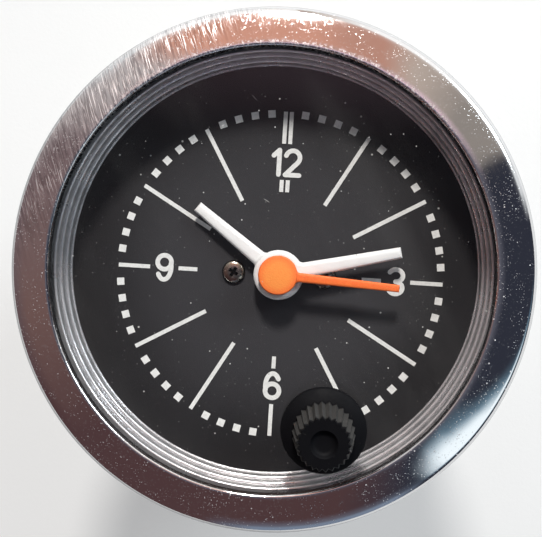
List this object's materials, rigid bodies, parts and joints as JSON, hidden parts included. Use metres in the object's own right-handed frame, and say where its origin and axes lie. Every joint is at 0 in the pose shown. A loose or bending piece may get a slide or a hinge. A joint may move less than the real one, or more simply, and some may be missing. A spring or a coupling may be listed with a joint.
{
  "type": "car dashboard clock",
  "caption": "Round panel clock with a chromed bezel, flat crystal, black dial, white and orange hands, a push-and-turn setting knob and a geared quartz movement in a drawn case.",
  "frame": {"origin": "on the case axis, in the plane of the bezel's back face, which sits on the panel", "axes": "+Z out of the dial towards the driver, +Y to 12 o'clock, +X to 3 o'clock"},
  "size_m": [0.06, 0.06, 0.0596],
  "materials": {
    "bezel_chrome": "polished chrome plate with fine scratches",
    "crystal": "clear flat mineral glass",
    "rubber": "black rubber",
    "reflector": "bright rolled aluminium",
    "case": "plated drawn steel",
    "cover": "plated pressed steel",
    "steel": "zinc-plated steel",
    "dark_screw": "blackened steel",
    "brass": "turned and cut brass",
    "plate_plastic": "moulded acetal",
    "dial_black": "matte black lacquer on aluminium",
    "dial_ink": "off-white printed ink",
    "hand_white": "white moulded hands",
    "hand_orange": "orange moulded hand",
    "knob_black": "black moulded plastic",
    "black_plastic": "black phenolic moulding",
    "bobbin": "natural nylon",
    "copper": "enamelled copper wire",
    "iron": "soft iron laminations",
    "magnet": "sintered magnet",
    "board": "green solder mask on glass epoxy",
    "can": "drawn can",
    "sleeve": "blue sleeve",
    "bulb": "clear bulb glass"
  },
  "bodies": {
    "clock_case": {"bezel": "bezel_chrome", "crystal": "crystal", "crystal_gasket": "rubber", "reflector_ring": "reflector", "case_can": "case", "rear_cover": "cover", "rear_cover_screws": "steel", "rear_spacers": "brass", "board_spacers": "brass", "train_pillars": "brass", "motion_pillars": "brass", "plate_screws": "steel", "front_plate": "plate_plastic", "middle_plate": "plate_plastic", "back_plate": "plate_plastic", "dial": "dial_black", "dial_markings": "dial_ink", "dial_screws": "dark_screw", "stator": "iron", "stator_screws": "steel", "coil_core": "iron", "coil_bobbin": "bobbin", "coil_winding": "copper", "circuit_board": "board", "quartz_can": "can", "clock_chip": "black_plastic", "capacitor": "sleeve", "terminal_block": "black_plastic", "terminal_blades": "brass", "mounting_studs": "steel", "stud_nuts": "steel", "stud_washers": "steel", "lamp_holder": "black_plastic", "lamp_contact": "brass", "bulb_cap": "brass", "bulb_glass": "bulb", "stem_grommet": "rubber", "stem_spring": "steel"},
    "seconds": {"seconds_wheel": "brass", "second_hand": "hand_orange"},
    "third": {"third_wheel": "brass"},
    "centre": {"centre_wheel": "brass", "clutch_washer": "steel"},
    "intermediate": {"intermediate_wheel": "brass"},
    "rotor": {"rotor": "steel", "rotor_magnet": "magnet"},
    "minute": {"cannon_pinion": "brass", "minute_hand": "hand_white"},
    "motion": {"minute_wheel": "brass"},
    "hour": {"hour_wheel": "brass", "hour_hand": "hand_white"},
    "stem_slide": {"stem_washer": "steel"},
    "knob": {"setting_knob": "knob_black", "setting_stem": "steel", "setting_pinion": "brass", "stem_clip": "steel"}
  },
  "joints": [
    {"name": "second_hand_turn", "type": "hinge", "parent": "clock_case", "child": "seconds", "pos_m": [0.0008, -0.0005, 0], "axis": [0, 0, -1], "continuous": true},
    {"name": "third_wheel_turn", "type": "hinge", "parent": "clock_case", "child": "third", "pos_m": [0.005, 0.00677, 0], "axis": [0, 0, -1], "continuous": true},
    {"name": "centre_wheel_turn", "type": "hinge", "parent": "clock_case", "child": "centre", "pos_m": [0.0008, -0.0005, 0], "axis": [0, 0, -1], "continuous": true},
    {"name": "intermediate_wheel_turn", "type": "hinge", "parent": "clock_case", "child": "intermediate", "pos_m": [-0.0076, -0.0005, 0], "axis": [0, 0, -1], "continuous": true},
    {"name": "rotor_turn", "type": "hinge", "parent": "clock_case", "child": "rotor", "pos_m": [-0.00439, -0.00739, 0], "axis": [0, 0, -1], "continuous": true},
    {"name": "minute_hand_turn", "type": "hinge", "parent": "clock_case", "child": "minute", "pos_m": [0.0008, -0.0005, 0], "axis": [0, 0, -1], "continuous": true},
    {"name": "minute_wheel_turn", "type": "hinge", "parent": "clock_case", "child": "motion", "pos_m": [0.00396, -0.00882, 0], "axis": [0, 0, -1], "continuous": true},
    {"name": "hour_hand_turn", "type": "hinge", "parent": "clock_case", "child": "hour", "pos_m": [0.0008, -0.0005, 0], "axis": [0, 0, -1], "continuous": true},
    {"name": "knob_push", "type": "slide", "parent": "clock_case", "child": "stem_slide", "axis": [0, 0, -1], "range_m": [0, 0.0014], "stiffness_N_per_m": 400, "springref_m": -0.002, "deforming": ["stem_spring"]},
    {"name": "knob_turn", "type": "hinge", "parent": "stem_slide", "child": "knob", "pos_m": [0.00712, -0.01714, 0], "axis": [0, 0, -1], "continuous": true}
  ],
  "couplings": [
    {"joint": "third_wheel_turn", "follows": "second_hand_turn", "ratio": -0.125},
    {"joint": "centre_wheel_turn", "follows": "second_hand_turn", "ratio": 0.016667},
    {"joint": "intermediate_wheel_turn", "follows": "second_hand_turn", "ratio": -6},
    {"joint": "rotor_turn", "follows": "second_hand_turn", "ratio": 30},
    {"joint": "minute_wheel_turn", "follows": "minute_hand_turn", "ratio": -0.33333},
    {"joint": "hour_hand_turn", "follows": "minute_hand_turn", "ratio": 0.083333},
    {"joint": "knob_turn", "follows": "minute_hand_turn", "ratio": 1}
  ]
}
